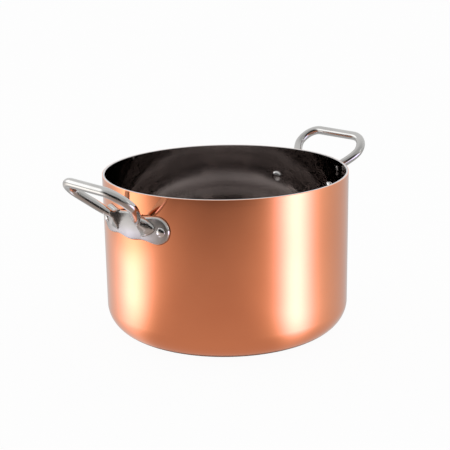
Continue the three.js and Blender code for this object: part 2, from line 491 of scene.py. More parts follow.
@dataclass(frozen=True)
class PolishedCopper:
    """Bright copper, polished round the pot, with a thin clear lacquer."""

    bright: Colour = (0.92, 0.35, 0.17)
    deep: Colour = (0.88, 0.325, 0.157)
    blotches: Pattern = (14.0, 4.0)
    blotch_span: Span = (0.35, 0.68)
    roughness: float = 0.07
    smears: Pattern = (46.0, 3.0)
    smear_stretch: Point3 = (1.0, 1.0, 0.35)
    smear_span: Span = (0.30, 0.75)
    smear_rough: Span = (0.85, 1.25)
    rings: Pattern = (1.0, 2.0)
    ring_stretch: Point3 = (14.0, 14.0, 5200.0)
    ring_relief: float = 0.03
    hairs: tuple[Scratch, ...] = ((28.0, 900.0), (-41.0, 760.0))
    hair_rough: float = 0.05
    hair_relief: float = 0.06
    relief_height: float = 0.02 * MM
    worn_corner: Span = (2 * MM, 12 * MM)
    worn_lip: float = 1.5 * MM
    worn_gain: float = 1.12
    worn_share: float = 0.5
    worn_rough: float = 0.08
    lacquer: float = 0.4
    lacquer_rough: float = 0.04

    def make(self, pot: "PotWall") -> bpy.types.Material:
        """Make the finish.

        Args:
            pot: The wall that wears it, for the heights of its worn edges.

        Returns:
            The material.
        """
        sheet = FinishSheet("polished_copper")
        blotches = sheet.noise(*self.blotches)
        smears = sheet.noise(*self.smears, sheet.stretched(self.smear_stretch))
        rings = sheet.noise(*self.rings, sheet.stretched(self.ring_stretch))
        hairs = sheet.math("MAXIMUM", *(sheet.scratches(*way) for way in self.hairs))
        height = sheet.place()[2]
        corner = sheet.remap(height, *self.worn_corner, 1.0, 0.0)
        lip = sheet.remap(height, pot.height - self.worn_lip, pot.height, 0.0, 1.0)
        worn = sheet.math("MAXIMUM", corner, lip)
        colour = sheet.mix(sheet.remap(blotches, *self.blotch_span, 0.0, 1.0), self.bright, self.deep)
        pale = tuple(min(1.0, part * self.worn_gain) for part in self.bright)
        colour = sheet.mix(sheet.math("MULTIPLY", worn, self.worn_share), colour, pale)
        sheet.feed(sheet.shader.inputs["Base Color"], colour)
        rough = sheet.remap(smears, *self.smear_span, *(self.roughness * share for share in self.smear_rough))
        rough = sheet.math("ADD", rough, sheet.math("MULTIPLY", hairs, self.hair_rough))
        rough = sheet.math("ADD", rough, sheet.math("MULTIPLY", worn, self.worn_rough))
        sheet.feed(sheet.shader.inputs["Roughness"], rough)
        relief = sheet.bump(rings, self.ring_relief, self.relief_height)
        relief = sheet.bump(hairs, self.hair_relief, self.relief_height, relief)
        sheet.feed(sheet.shader.inputs["Normal"], relief)
        sheet.shader.inputs["Metallic"].default_value = 1.0
        sheet.shader.inputs["Coat Weight"].default_value = self.lacquer
        sheet.shader.inputs["Coat Roughness"].default_value = self.lacquer_rough
        return sheet.material


@dataclass(frozen=True)
class PolishedSteel:
    """Mirror polished stainless steel with fine lines round the pot."""

    name: str
    bright: Colour = (0.556, 0.525, 0.515)
    deep: Colour = (0.516, 0.487, 0.477)
    roughness: float = 0.055
    line_fineness: float = 4200.0
    line_stretch: float = 18.0
    lines: Pattern = (1.0, 2.0)
    line_rough: Span = (0.9, 1.15)
    clouds: Pattern = (22.0, 4.0)
    cloud_rough: Span = (0.8, 1.3)
    tone_span: Span = (0.35, 0.70)
    rough_span: Span = (0.30, 0.75)
    hairs: tuple[Scratch, ...] = ((33.0, 820.0), (-37.0, 690.0))
    hair_rough: float = 0.02

    def make(self) -> bpy.types.Material:
        """Make the finish.

        Returns:
            The material.
        """
        sheet = FinishSheet(self.name)
        cloud = sheet.noise(*self.clouds)
        round_pot = sheet.stretched((self.line_stretch, self.line_stretch, self.line_fineness))
        lines = sheet.noise(*self.lines, round_pot)
        hairs = sheet.math("MAXIMUM", *(sheet.scratches(*way) for way in self.hairs))
        colour = sheet.mix(sheet.remap(cloud, *self.tone_span, 0.0, 1.0), self.bright, self.deep)
        sheet.feed(sheet.shader.inputs["Base Color"], colour)
        rough = sheet.remap(cloud, *self.rough_span, *(self.roughness * share for share in self.cloud_rough))
        rough = sheet.math("MULTIPLY", rough, sheet.remap(lines, *self.tone_span, *self.line_rough))
        rough = sheet.math("ADD", rough, sheet.math("MULTIPLY", hairs, self.hair_rough))
        sheet.feed(sheet.shader.inputs["Roughness"], rough)
        sheet.shader.inputs["Metallic"].default_value = 1.0
        return sheet.material


@dataclass(frozen=True)
class GroundAluminium:
    """Bare aluminium, ground flat with lines round the rim."""

    bright: Colour = (0.80, 0.80, 0.81)
    deep: Colour = (0.66, 0.66, 0.68)
    roughness: float = 0.34
    clouds: Pattern = (60.0, 4.0)
    cloud_rough: Span = (0.85, 1.2)
    rough_span: Span = (0.30, 0.70)
    lines: Pattern = (9000.0, 2.0)
    tone_span: Span = (0.35, 0.70)
    line_relief: float = 0.25
    line_height: float = 0.03 * MM

    def make(self) -> bpy.types.Material:
        """Make the finish.

        Returns:
            The material.
        """
        sheet = FinishSheet("ground_aluminium")
        cloud = sheet.noise(*self.clouds)
        across = sheet.node("ShaderNodeCombineXYZ")
        sheet.feed(across.inputs[0], sheet.radius())
        lines = sheet.noise(*self.lines, across.outputs[0])
        colour = sheet.mix(sheet.remap(lines, *self.tone_span, 0.0, 1.0), self.bright, self.deep)
        sheet.feed(sheet.shader.inputs["Base Color"], colour)
        rough = sheet.remap(cloud, *self.rough_span, *(self.roughness * share for share in self.cloud_rough))
        sheet.feed(sheet.shader.inputs["Roughness"], rough)
        sheet.feed(sheet.shader.inputs["Normal"], sheet.bump(lines, self.line_relief, self.line_height))
        sheet.shader.inputs["Metallic"].default_value = 1.0
        return sheet.material


@dataclass(frozen=True)
class CastSteel:
    """A stainless casting: the loop polished bright, the plate and the panel left satin."""

    bright: Colour = (0.56, 0.552, 0.538)
    deep: Colour = (0.50, 0.492, 0.48)
    dull: Colour = (0.46, 0.453, 0.445)
    polished: float = 0.10
    satin: float = 0.36
    raised: Span = (0.2 * MM, 0.8 * MM)
    edge: Span = (-0.3 * MM, -0.5 * MM)
    clouds: Pattern = (38.0, 4.0)
    cloud_rough: Span = (0.88, 1.2)
    tone_span: Span = (0.35, 0.70)
    rough_span: Span = (0.30, 0.75)
    grain: Pattern = (1500.0, 2.0)
    grain_share: float = 0.4
    streaks: Pattern = (1.0, 3.0)
    streak_stretch: Point3 = (1600.0, 1600.0, 40.0)
    satin_relief: float = 0.10
    satin_height: float = 0.04 * MM
    hairs: tuple[Scratch, ...] = ((24.0, 760.0), (-52.0, 640.0))
    hair_rough: float = 0.05
    hair_relief: float = 0.08
    hair_height: float = 0.02 * MM

    def make(self, handle: "LoopHandle") -> bpy.types.Material:
        """Make the finish.

        Args:
            handle: The handle that wears it, for the depth where the polish begins.

        Returns:
            The material.
        """
        sheet = FinishSheet("cast_steel")
        cloud = sheet.noise(*self.clouds)
        grain = sheet.noise(*self.grain)
        streaks = sheet.noise(*self.streaks, sheet.stretched(self.streak_stretch))
        hairs = sheet.math("MAXIMUM", *(sheet.scratches(*way) for way in self.hairs))
        front = handle.seat + handle.plate_thickness
        distance = sheet.radius()
        spans = [(front + start, front + end) for start, end in (self.raised, self.edge)]
        shine = sheet.math("MAXIMUM", *(sheet.remap(distance, *span, 0.0, 1.0) for span in spans))
        colour = sheet.mix(sheet.remap(cloud, *self.tone_span, 0.0, 1.0), self.bright, self.deep)
        sheet.feed(sheet.shader.inputs["Base Color"], sheet.mix(shine, self.dull, colour))
        rough = sheet.remap(shine, 0.0, 1.0, self.satin, self.polished)
        rough = sheet.math("MULTIPLY", rough, sheet.remap(cloud, *self.rough_span, *self.cloud_rough))
        rough = sheet.math("ADD", rough, sheet.math("MULTIPLY", hairs, self.hair_rough))
        sheet.feed(sheet.shader.inputs["Roughness"], rough)
        texture = sheet.math("ADD", sheet.math("MULTIPLY", grain, self.grain_share), streaks)
        texture = sheet.math("MULTIPLY", texture, sheet.math("SUBTRACT", 1.0, shine))
        relief = sheet.bump(texture, self.satin_relief, self.satin_height)
        relief = sheet.bump(hairs, self.hair_relief, self.hair_height, relief)
        sheet.feed(sheet.shader.inputs["Normal"], relief)
        sheet.shader.inputs["Metallic"].default_value = 1.0
        return sheet.material


def finish(piece: bpy.types.Object, material: bpy.types.Material, node: str) -> None:
    """Give a piece its finish, hide the CAD node that it stands for and hang the piece on the body.

    Args:
        piece: The finished mesh.
        material: Its finish.
        node: The CAD node that it replaces.
    """
    piece.data.materials.clear()
    piece.data.materials.append(material)
    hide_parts(node)
    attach(piece, BODY)
    LOG.info("%s stands for %s with %d faces", piece.name, node, len(piece.data.polygons))


@dataclass
class PotWall:
    """The cup: copper outside, aluminium in the middle, steel inside, bonded and ground flat at the rim."""

    radius: float = 120 * MM
    height: float = 155.5 * MM
    corner: float = 25 * MM
    copper: float = 0.6 * MM
    core: float = 1.4 * MM
    lining: float = 0.5 * MM
    chamfer: float = 0.25 * MM
    sides: int = 288
    corner_steps: int = 28
    ring_gap: float = 5 * MM
    floor_rings: int = 10
    corner_ring: float = 0.6 * MM
    shade: float = 30.0

    @property
    def thickness(self) -> float:
        """The whole wall's thickness."""
        return self.copper + self.core + self.lining

    def skin(self, depth: float, bevel: float, outward: bool) -> list[Point2]:
        """Draw one skin of a layer from the axis to the rim.

        Args:
            depth: How deep the skin lies under the pot's outside.
            bevel: The chamfer at the rim.
            outward: Whether the chamfer leans away from the axis.

        Returns:
            Points of radius and height.
        """
        flat = self.radius - self.corner
        points = [(flat * step / self.floor_rings, depth) for step in range(self.floor_rings)]
        bend = self.corner - depth
        for step in range(self.corner_steps + 1):
            turn = math.pi / 2 * step / self.corner_steps
            points.append((flat + bend * math.sin(turn), self.corner - bend * math.cos(turn)))
        wall = self.radius - depth
        top = self.height - bevel
        rings = int((top - self.corner) / self.ring_gap)
        points.append((wall, self.corner + self.corner_ring))
        points += [(wall, self.corner + (top - self.corner) * ring / rings) for ring in range(1, rings + 1)]
        if bevel:
            points.append((wall + bevel if outward else wall - bevel, self.height))
        return points

    def layer(
        self, name: str, depth: float, thickness: float, outer: float, inner: float
    ) -> bpy.types.Object:
        """Turn one layer of the wall.

        Args:
            name: The layer's name.
            depth: How deep its outside lies under the pot's outside.
            thickness: Its thickness.
            outer: The chamfer at its outer edge.
            inner: The chamfer at its inner edge.

        Returns:
            The layer.
        """
        outside = self.skin(depth, outer, False)
        inside = self.skin(depth + thickness, inner, True)
        piece = Bench.turned(name, outside + inside[::-1], self.sides)
        Bench.smooth(piece, self.shade)
        return piece

    def build(self) -> None:
        """Make the three layers and dress them."""
        copper = self.layer("copper_shell_skin", 0.0, self.copper, self.chamfer, 0.0)
        finish(copper, PolishedCopper().make(self), "copper_shell")
        core = self.layer("aluminium_core_sheet", self.copper, self.core, 0.0, 0.0)
        finish(core, GroundAluminium().make(), "aluminium_core")
        lining = self.layer("steel_lining_skin", self.copper + self.core, self.lining, 0.0, self.chamfer)
        finish(lining, PolishedSteel("steel_lining_polish").make(), "steel_lining")


@dataclass
class LoopHandle:
    """A one-piece cast handle: a plate wrapped round the wall, two feet on it and a loop between them."""

    wall_radius: float
    pot_height: float
    gap: float = 0.3 * MM
    # Plate
    plate_overhang: float = 1.5 * MM
    plate_height: float = 26.6 * MM
    plate_thickness: float = 2.8 * MM
    plate_edge: float = 1.2 * MM
    plate_slant: float = 1.7 * MM
    plate_waist: float = 1.9 * MM
    plate_drop: float = 31.6 * MM
    roll_steps: tuple[Point2, ...] = ((0.3 * MM, 0.26 * MM), (0.3 * MM, 0.14 * MM))
    lobe_steps: int = 24
    strip: float = 1.5 * MM
    # Boss, and the panel that parts it into feet
    boss_end: float = 14 * MM
    boss_height: float = 22.6 * MM
    boss_rise: float = 6.6 * MM
    boss_crown: float = 1.9 * MM
    boss_edge: float = 3.4 * MM
    boss_round: float = 3.2 * MM
    boss_lean: float = 0.4 * MM
    boss_drop: float = 29.3 * MM
    boss_sides: int = 128
    round_steps: int = 8
    crown_steps: int = 12
    panel_width: float = 33 * MM
    panel_edge: float = 0.5 * MM
    panel_edge_steps: int = 3
    fall_share: float = 0.45
    fall_length: float = 15 * MM
    fade_share: float = 0.85
    fade_width: float = 9 * MM
    fade_height: float = 15 * MM
    # Loop
    loop_width: float = 90.5 * MM
    slope: float = 44.0
    reach: float = 56.9 * MM
    foot_spacing: float = 25.6 * MM
    foot_drop: float = 27.5 * MM
    foot_out: float = 5 * MM
    knee_reach: float = 28.5 * MM
    bow: float = 1.4 * MM
    bend: float = 18 * MM
    bar_radius: float = 4.5 * MM
    root_radius: float = 2.6 * MM
    root_length: float = 22 * MM
    root_start: float = 2.5 * MM
    root_lift: float = 1.5 * MM
    root_ease: float = 15 * MM
    arm_steps: int = 32
    bend_steps: int = 24
    grip_steps: int = 8
    bar_rings: int = 10
    # Rounding of the casting
    voxel: float = 0.36 * MM
    polish_passes: int = 5
    fillet_reach: float = 12 * MM
    fillet_passes: int = 40
    fillet_clear: float = 0.4 * MM
    shade: float = 40.0
    # Rivet holes
    rivet_end: float = 7.5 * MM
    hole_radius: float = 2.8 * MM
    hole_sides: int = 48
    drill_length: float = 24 * MM

    @property
    def seat(self) -> float:
        """The radius that the plate's back is bent to."""
        return self.wall_radius + self.gap

    @property
    def plate_length(self) -> float:
        """The plate's length along the wall."""
        return self.loop_width + self.plate_overhang

    @property
    def middle(self) -> float:
        """The height of the plate's middle."""
        return self.pot_height - self.plate_drop

    @property
    def rivet_turn(self) -> float:
        """The turn from the plate's middle to a rivet."""
        return (self.plate_length / 2 - self.rivet_end) / self.wall_radius

    def outline(self) -> list[Point2]:
        """Draw the plate's outline: round lobes and long edges that dip twice.

        Returns:
            Points along the wall and up from the plate's middle, anticlockwise.
        """
        half = self.plate_height / 2
        lobe = self.plate_length / 2 - half
        steps = self.lobe_steps
        points: list[Point2] = []
        for sign in (1, -1):
            for step in range(steps + 1):
                turn = math.pi * (step / steps - 0.5)
                points.append((sign * (lobe + half * math.cos(turn)), sign * half * math.sin(turn)))
            for step in range(1, 2 * steps):
                along = lobe * (1 - step / steps)
                dip = self.plate_waist * math.sin(math.pi * along / lobe) ** 2
                points.append((sign * along, sign * (half - dip)))
        return points

    def wrap(self, piece: bpy.types.Object) -> None:
        """Bend a flat pad round the wall.

        Args:
            piece: A pad whose X is its height over the seat and whose Y runs along the wall.
        """
        for vertex in piece.data.vertices:
            out, along, up = vertex.co
            turn = along / self.wall_radius
            vertex.co = ((self.seat + out) * math.cos(turn), (self.seat + out) * math.sin(turn), up)

    def slice(self, piece: bpy.types.Object, length: float) -> None:
        """Cut a flat pad into narrow strips, so that it can bend.

        Args:
            piece: The pad.
            length: Its length along Y.
        """
        count = int(length / self.strip)
        Bench.edit(piece)
        for step in range(1, count):
            bpy.ops.mesh.select_all(action="SELECT")
            place = (0, length * (step / count - 0.5), 0)
            bpy.ops.mesh.bisect(plane_co=place, plane_no=(0, 1, 0))
        bpy.ops.object.mode_set(mode="OBJECT")

    def plate(self) -> bpy.types.Object:
        """Model the plate: its outline filled, pulled up, rounded at the front and bent.

        Returns:
            The plate.
        """
        points = [Vector((0, along, self.middle + up)) for along, up in self.outline()]
        piece = Bench.trace("plate", points, closed=True)
        Bench.edit(piece)
        bpy.ops.mesh.edge_face_add()
        foot = self.plate_thickness - self.plate_slant - sum(rise for _, rise in self.roll_steps)
        bpy.ops.mesh.extrude_region_move(TRANSFORM_OT_translate={"value": (foot, 0, 0)})
        Bench.seal(piece)
        Bench.choose(piece, "FACE", lambda face: face.center.x > foot - WELD)
        for inset, rise in ((self.plate_edge, self.plate_slant), *self.roll_steps):
            bpy.ops.mesh.inset(thickness=inset, depth=rise)
        Bench.seal(piece)
        self.slice(piece, self.plate_length)
        self.wrap(piece)
        return piece

    def boss(self) -> bpy.types.Object:
        """Model the oval boss that the feet are cut from.

        A ring is pulled up in steps to a rounded rim and a low crown.

        Returns:
            The boss.
        """
        length = self.plate_length - 2 * self.boss_end
        half = self.boss_height / 2
        middle = self.pot_height - self.boss_drop
        top = self.plate_thickness + self.boss_rise
        rim = top - self.boss_crown - self.boss_round
        levels = [(0.0, self.plate_thickness), (self.boss_lean, rim)]
        for step in range(1, self.round_steps + 1):
            turn = math.pi / 2 * step / self.round_steps
            inset = self.boss_lean + self.boss_edge * (1 - math.cos(turn))
            levels.append((inset, rim + self.boss_round * math.sin(turn)))
        inset, out = levels[-1]
        wide, high = length / 2 - inset, half - inset
        rings = [(length / 2 - inset, half - inset, out) for inset, out in levels]
        for step in range(1, self.crown_steps):
            share = 1 - step / self.crown_steps
            rings.append((wide * share, high * share, out + self.boss_crown * (1 - share * share)))
        Bench.clear()
        bpy.ops.mesh.primitive_circle_add(
            vertices=self.boss_sides, radius=0.5, fill_type="NGON", rotation=(0, math.pi / 2, 0)
        )
        piece = bpy.context.object
        piece.name = "boss"
        Bench.place(piece, Matrix.Diagonal((1.0, length, self.boss_height, 1.0)))
        Bench.place(piece, Matrix.Translation((self.plate_thickness / 2, 0, middle)))
        depth, wide, high = self.plate_thickness / 2, length / 2, half
        Bench.edit(piece)
        for across, up, out in rings:
            bpy.ops.mesh.extrude_region_move(TRANSFORM_OT_translate={"value": (out - depth, 0, 0)})
            bpy.ops.transform.resize(value=(1, across / wide, up / high), center_override=(out, 0, middle))
            depth, wide, high = out, across, up
        Bench.seal(piece)
        self.slice(piece, length)
        self.fade(piece, middle - half)
        self.wrap(piece)
        return piece

    def fade(self, piece: bpy.types.Object, foot: float) -> None:
        """Let the flat boss fall towards its ends and run into the plate low down beside the panel.

        Args:
            piece: The boss before it is bent.
            foot: The height of its lower edge.
        """
        for vertex in piece.data.vertices:
            out, along, up = vertex.co
            if out > self.plate_thickness:
                beside = abs(along) - self.panel_width / 2
                aside = ease(beside / self.fade_width)
                above = ease((up - foot) / self.fade_height)
                keep = 1 - self.fade_share * (1 - aside) * (1 - above)
                keep *= 1 - self.fall_share * min(1.0, max(0.0, beside / self.fall_length))
                vertex.co.x = self.plate_thickness + (out - self.plate_thickness) * keep

    def line(self) -> list[tuple[Point2, float]]:
        """Draw the loop's middle line in its own sloping plane.

        Returns:
            Points across the handle and along the slope, each with the bar's radius there.
        """
        knee = Vector((self.loop_width / 2 - self.bar_radius, self.knee_reach))
        foot = Vector((self.foot_spacing / 2, 0))
        root = foot + (knee - foot).normalized() * self.root_start
        centre = Vector((knee.x - self.bend, self.reach - self.bend))
        shoulder = Vector((knee.x, centre.y))
        half: list[Vector] = []
        for step in range(self.arm_steps):
            share = step / self.arm_steps
            half.append(root.lerp(knee, share).lerp(knee.lerp(shoulder, share), share))
        for step in range(self.bend_steps + 1):
            turn = math.pi / 2 * step / self.bend_steps
            half.append(centre + Vector((math.cos(turn), math.sin(turn))) * self.bend)
        for step in range(1, self.grip_steps):
            half.append(Vector((centre.x * (1 - step / self.grip_steps), self.reach)))
        whole = half + [Vector((0, self.reach))] + [Vector((-point.x, point.y)) for point in half[::-1]]
        run = [0.0]
        for before, after in zip(whole, whole[1:]):
            run.append(run[-1] + (after - before).length)
        made: list[tuple[Point2, float]] = []
        for point, along in zip(whole, run):
            share = min(1.0, min(along, run[-1] - along) / self.root_length)
            share = share * (2 - share)
            made.append(((point.x, point.y), self.root_radius + (self.bar_radius - self.root_radius) * share))
        return made

    def loop_point(self, across: float, along: float) -> Vector:
        """Find a place on the loop's bowed and sloping plane.

        Args:
            across: The distance from the handle's middle.
            along: The distance up the slope from the feet.

        Returns:
            The place on the +X side of the pot.
        """
        rise = math.radians(self.slope)
        outward = Vector((math.cos(rise), 0, math.sin(rise)))
        normal = Vector((-math.sin(rise), 0, math.cos(rise)))
        foot = Vector((self.seat + self.foot_out, across, self.pot_height - self.foot_drop))
        share = along / self.reach
        lift = self.root_lift * max(0.0, 1 - along / self.root_ease) ** 2
        return foot + outward * along + normal * (lift + self.bow * BOW_PEAK * share * (1 - share) ** 2)

    def bar(self) -> bpy.types.Object:
        """Model the loop's round bar, whose radius changes along its middle line.

        Returns:
            The bar.
        """
        course = self.line()
        Bench.clear()
        bpy.ops.curve.primitive_nurbs_path_add()
        piece = bpy.context.object
        piece.name = "bar"
        curve = piece.data
        curve.splines.clear()
        spline = curve.splines.new("POLY")
        spline.points.add(len(course) - 1)
        for point, (place, radius) in zip(spline.points, course):
            point.co = (*self.loop_point(*place), 1)
            point.radius = radius
        curve.dimensions = "3D"
        curve.bevel_depth = 1.0
        curve.bevel_resolution = self.bar_rings
        curve.use_fill_caps = True
        Bench.pick(piece)
        bpy.ops.object.convert(target="MESH")
        piece = bpy.context.object
        Bench.seal(piece)
        return piece

    def panel_space(self) -> bpy.types.Object:
        """Model the space in front of the bare panel of the plate, between the arms' feet.

        Returns:
            A block with rounded edges.
        """
        face = self.seat + self.plate_thickness / 4
        Bench.clear()
        bpy.ops.mesh.primitive_cube_add(size=1)
        piece = bpy.context.object
        piece.name = "panel_space"
        size = Matrix.Diagonal((self.reach, self.panel_width, self.plate_height, 1.0))
        Bench.place(piece, Matrix.Translation((face + self.reach / 2, 0, self.middle)) @ size)
        Bench.edit(piece)
        bpy.ops.mesh.bevel(offset=self.panel_edge, segments=self.panel_edge_steps, affect="EDGES")
        bpy.ops.object.mode_set(mode="OBJECT")
        return piece

    def casting(self) -> bpy.types.Object:
        """Join boss and bar, part the feet, round them as a casting is and add the drilled plate.

        Returns:
            The handle on the +X side.
        """
        piece = self.boss()
        Bench.combine(piece, self.bar(), "UNION")
        Bench.combine(piece, self.panel_space(), "DIFFERENCE")
        Bench.pick(piece)
        remesh = piece.modifiers.new("cast", "REMESH")
        remesh.mode = "VOXEL"
        remesh.voxel_size = self.voxel
        bpy.ops.object.modifier_apply(modifier=remesh.name)
        Bench.edit(piece)
        bpy.ops.mesh.vertices_smooth(factor=SMOOTH_FACTOR, repeat=self.polish_passes)
        bpy.ops.object.mode_set(mode="OBJECT")
        self.fillet(piece)
        Bench.combine(piece, self.plate(), "UNION")
        for sign in (-1, 1):
            Bench.combine(piece, self.drill(sign * self.rivet_turn), "DIFFERENCE")
        Bench.smooth(piece, self.shade)
        return piece

    def fillet(self, piece: bpy.types.Object) -> None:
        """Round the corners where the arms run into the feet.

        Args:
            piece: The rough casting.
        """
        (across, along), _ = self.line()[0]
        roots = [self.loop_point(side * across, along) for side in (-1, 1)]
        clear = self.seat + self.plate_thickness + self.fillet_clear

        def rounded(vertex: bpy.types.MeshVertex) -> bool:
            """Tell whether a vertex lies near a root and clear of the plate.

            Args:
                vertex: The vertex.

            Returns:
                Whether it is smoothed.
            """
            near = min((vertex.co - root).length for root in roots) < self.fillet_reach
            return near and vertex.co.xy.length > clear

        Bench.choose(piece, "VERT", rounded)
        bpy.ops.mesh.vertices_smooth(factor=SMOOTH_FACTOR, repeat=self.fillet_passes)
        bpy.ops.object.mode_set(mode="OBJECT")

    def drill(self, turn: float) -> bpy.types.Object:
        """Model a drill for a rivet hole.

        Args:
            turn: The hole's turn about the pot's axis.

        Returns:
            A round rod along the radius.
        """
        Bench.clear()
        bpy.ops.mesh.primitive_cylinder_add(
            vertices=self.hole_sides, radius=self.hole_radius, depth=self.drill_length
        )
        piece = bpy.context.object
        lay = Matrix.Rotation(math.pi / 2, 4, "Y")
        move = Matrix.Translation((self.seat, 0, self.middle))
        Bench.place(piece, Matrix.Rotation(turn, 4, "Z") @ move @ lay)
        return piece

    def build(self) -> None:
        """Make both handles and dress them."""
        material = CastSteel().make(self)
        right = self.casting()
        right.name = "handle_right_casting"
        left = Bench.copy(right, "handle_left_casting", Matrix.Rotation(Side.LEFT.value, 4, "Z"))
        finish(right, material, "handle_right")
        finish(left, material, "handle_left")


@dataclass
class Rivet:
    """A steel rivet with a domed head inside the pot and another over the plate."""

    wall: PotWall
    handle: LoopHandle
    shank: float = 2.5 * MM
    inner_head: float = 5.5 * MM
    inner_rise: float = 3.0 * MM
    outer_head: float = 4.5 * MM
    outer_rise: float = 2.4 * MM
    edge: float = 0.5 * MM
    soft: float = 0.18 * MM
    soft_share: float = 0.3
    steps: int = 14
    sides: int = 64
    shade: float = 40.0
    polish: PolishedSteel = PolishedSteel(
        "rivet_polish", bright=(0.66, 0.65, 0.645), deep=(0.60, 0.59, 0.585),
        roughness=0.03, line_fineness=1500.0,
    )

    def dome(self, radius: float, rise: float) -> list[Point2]:
        """Draw a head from its crown to the shank.

        Args:
            radius: The head's radius.
            rise: Its height over its seat.

        Returns:
            Points of radius and height over the seat.
        """
        points: list[Point2] = []
        for step in range(self.steps + 1):
            turn = math.pi / 2 * step / self.steps
            points.append((radius * math.sin(turn), self.edge + (rise - self.edge) * math.cos(turn)))
        chip = self.soft * self.soft_share
        points += [(radius, self.soft), (radius - chip, chip), (radius - self.soft, 0.0)]
        return points + [(self.shank, 0.0)]

    def build(self) -> None:
        """Make the four rivets and dress them."""
        inner_seat = self.wall.radius - self.wall.thickness - self.handle.gap
        outer_seat = self.handle.seat + self.handle.plate_thickness + self.handle.gap
        inner = [(radius, inner_seat - rise) for radius, rise in self.dome(self.inner_head, self.inner_rise)]
        outer = [(radius, outer_seat + rise) for radius, rise in self.dome(self.outer_head, self.outer_rise)]
        model = Bench.turned("rivet", inner + outer[::-1], self.sides)
        Bench.smooth(model, self.shade)
        lay = Matrix.Translation((0, 0, self.handle.middle)) @ Matrix.Rotation(math.pi / 2, 4, "Y")
        material = self.polish.make()
        for side in Side:
            for end in End:
                sign = -1 if (end is End.FRONT) == (side is Side.RIGHT) else 1
                turn = Matrix.Rotation(side.value + sign * self.handle.rivet_turn, 4, "Z")
                place = f"{side.name.lower()}_{end.value}"
                piece = Bench.copy(model, f"rivet_{place}_set", turn @ lay)
                finish(piece, material, f"rivet_{place}")
        bpy.data.objects.remove(model, do_unlink=True)


def hide_card(piece: bpy.types.Object, material: bpy.types.Material, scattered: bool) -> None:
    """Give a card its glow and leave it to the metal alone.

    Args:
        piece: The card.
        material: Its glow.
        scattered: Whether it also lights dull surfaces.
    """
    piece.data.materials.append(material)
    piece.visible_camera = False
    piece.visible_shadow = False
    piece.visible_diffuse = scattered


@dataclass(frozen=True)
class SoftBox:
    """A soft panel of light that the metal mirrors and the camera doesn't see."""

    name: str
    centre: Point3
    aim: Point3
    width: float
    height: float
    strength: float
    soft: float = 0.6

    def build(self) -> None:
        """Hang the panel."""
        Bench.clear()
        bpy.ops.mesh.primitive_plane_add(size=1)
        piece = bpy.context.object
        piece.name = self.name
        Bench.place(piece, Matrix.Diagonal((self.width, self.height, 1.0, 1.0)))
        way = Vector(self.aim) - Vector(self.centre)
        turn = way.to_track_quat("Z", "Y").to_matrix().to_4x4()
        piece.matrix_world = Matrix.Translation(self.centre) @ turn
        sheet = FinishSheet(self.name)
        cover: object = 1.0
        for place, size in zip(sheet.place(), (self.width, self.height)):
            away = sheet.math("ABSOLUTE", place)
            inside = sheet.remap(away, size / 2, size / 2 * (1 - self.soft), 0.0, 1.0)
            cover = sheet.math("MULTIPLY", cover, inside)
        sheet.glow((1.0, 1.0, 1.0, 1.0), self.strength, cover)
        hide_card(piece, sheet.material, True)


@dataclass(frozen=True)
class FloorFan:
    """A fan of light on the floor, which stands as an upright highlight on the round wall."""

    name: str
    apex: Point2
    aim: Point2
    lift: float
    strength: float
    spread: float
    near: Span
    far: Span
    far_level: float
    size: float = 3.2
    wide_share: float = 0.19
    wide_spread: float = 2.24
    core: Colour = (0.98, 0.93, 1.12)
    core_cover: float = 0.45
    far_core: Colour = (0.98, 0.95, 0.90)
    tail: Colour = (1.0, 0.88, 0.80)
    sheen: Span = (0.42, 0.60)
    close: Span = (0.10, 0.15)

    def build(self) -> None:
        """Lay the fan.

        It shows at a low angle, as a glossy table's sheen does, and beside the pot at any angle.
        """
        Bench.clear()
        bpy.ops.mesh.primitive_plane_add(size=self.size)
        piece = bpy.context.object
        piece.name = self.name
        way = Vector(self.aim) - Vector(self.apex)
        place = Matrix.Translation((*self.apex, self.lift))
        piece.matrix_world = place @ Matrix.Rotation(math.atan2(way.y, way.x), 4, "Z")
        sheet = FinishSheet(self.name)
        along, aside, _ = sheet.place()
        angle = sheet.math("ARCTAN2", aside, along)
        cover: object = 0.0
        for share, spread in ((1 - self.wide_share, 1.0), (self.wide_share, self.wide_spread)):
            turn = sheet.math("DIVIDE", angle, math.radians(self.spread * spread))
            fall = sheet.math("MULTIPLY", sheet.math("MULTIPLY", turn, turn), -1.0)
            bell = sheet.math("POWER", math.e, fall)
            cover = sheet.math("ADD", cover, sheet.math("MULTIPLY", bell, share))
        cover = sheet.math("MULTIPLY", cover, sheet.remap(along, *self.near, 0.0, 1.0))
        far = sheet.remap(along, *self.far, 0.0, 1.0)
        cover = sheet.math("MULTIPLY", cover, sheet.remap(far, 0.0, 1.0, 1.0, self.far_level))
        low = sheet.node("ShaderNodeLayerWeight").outputs["Facing"]
        beside = sheet.remap(along, *self.close, 1.0, 0.0)
        shown = sheet.math("MAXIMUM", sheet.remap(low, *self.sheen, 0.0, 1.0), beside)
        cover = sheet.math("MULTIPLY", cover, shown)
        core = sheet.mix(far, self.core, self.far_core)
        colour = sheet.mix(sheet.remap(cover, 0.0, self.core_cover, 0.0, 1.0), self.tail, core)
        sheet.glow(colour, self.strength, cover)
        hide_card(piece, sheet.material, False)


